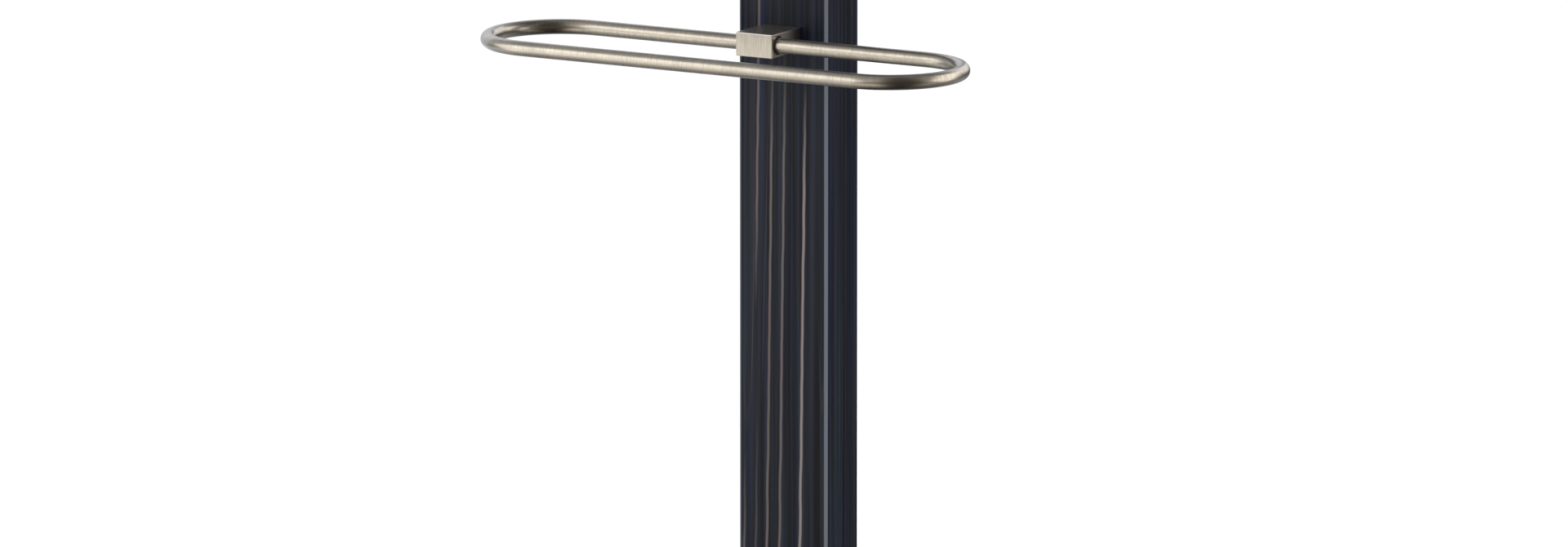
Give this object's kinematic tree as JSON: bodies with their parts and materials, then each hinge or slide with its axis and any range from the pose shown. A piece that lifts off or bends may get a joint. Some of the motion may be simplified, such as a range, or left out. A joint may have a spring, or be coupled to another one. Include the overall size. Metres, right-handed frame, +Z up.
{
  "type": "valet stand",
  "caption": "Valet stand: a dark wood post on a weighted base, with a loop-shaped metal trouser rail that folds up or down, jacket shoulders and a lined tray.",
  "frame": {"origin": "on the floor, under the centre of the base", "axes": "+Z up; -Y is the front, where the trouser rail reaches out; +X is the stand's left-hand side as seen by a person standing behind it and the right-hand side as seen from the front"},
  "size_m": [0.4404, 0.32, 1.1058],
  "materials": {
    "black_wood": "ebonised veneer with fine paler grain lines, satin lacquer",
    "brushed_nickel": "warm nickel plate, fine brushed",
    "zinc_steel": "bright zinc plate",
    "black_steel": "black powder coat",
    "black_nylon": "matt, moulded",
    "glide_rubber": "matt, moulded",
    "beech": "raw turned dowel",
    "tray_leather": "dark brown, fine grain"
  },
  "bodies": {
    "stand": {"base_board": "black_wood", "ballast_plate": "black_steel", "ballast_screw_front_left": "zinc_steel", "glide_front_left": "glide_rubber", "glide_screw_front_left": "zinc_steel", "ballast_screw_front_right": "zinc_steel", "glide_front_right": "glide_rubber", "glide_screw_front_right": "zinc_steel", "ballast_screw_back_left": "zinc_steel", "glide_back_left": "glide_rubber", "glide_screw_back_left": "zinc_steel", "ballast_screw_back_right": "zinc_steel", "glide_back_right": "glide_rubber", "glide_screw_back_right": "zinc_steel", "post": "black_wood", "post_bolt_left": "zinc_steel", "post_washer_left": "zinc_steel", "post_insert_left": "zinc_steel", "post_bolt_right": "zinc_steel", "post_washer_right": "zinc_steel", "post_insert_right": "zinc_steel", "post_dowel_front": "beech", "post_dowel_back": "beech", "rail_bracket": "brushed_nickel", "rail_bush_left": "black_nylon", "rail_set_screw_left": "black_steel", "rail_bush_right": "black_nylon", "rail_set_screw_right": "black_steel", "rail_backplate": "brushed_nickel", "bracket_screw_left": "brushed_nickel", "bracket_screw_right": "brushed_nickel", "hanger_spine": "black_steel", "shoulder_left": "black_wood", "shoulder_right": "black_wood", "shoulder_screw_left_1": "zinc_steel", "shoulder_screw_left_2": "zinc_steel", "shoulder_screw_right_1": "zinc_steel", "shoulder_screw_right_2": "zinc_steel", "spine_screw": "zinc_steel", "tray": "black_wood", "tray_liner": "tray_leather", "tray_plate": "brushed_nickel", "plate_screw_left": "zinc_steel", "plate_screw_right": "zinc_steel", "tray_screw_front_left": "zinc_steel", "tray_screw_front_right": "zinc_steel", "tray_screw_back_left": "zinc_steel", "tray_screw_back_right": "zinc_steel"},
    "rail": {"rail_rod": "brushed_nickel"}
  },
  "joints": [
    {"name": "rail_fold", "type": "hinge", "parent": "stand", "child": "rail", "pos_m": [0, -0.0005, 0.8014], "axis": [1, 0, 0], "range_deg": [-104.5, 104.5]}
  ]
}
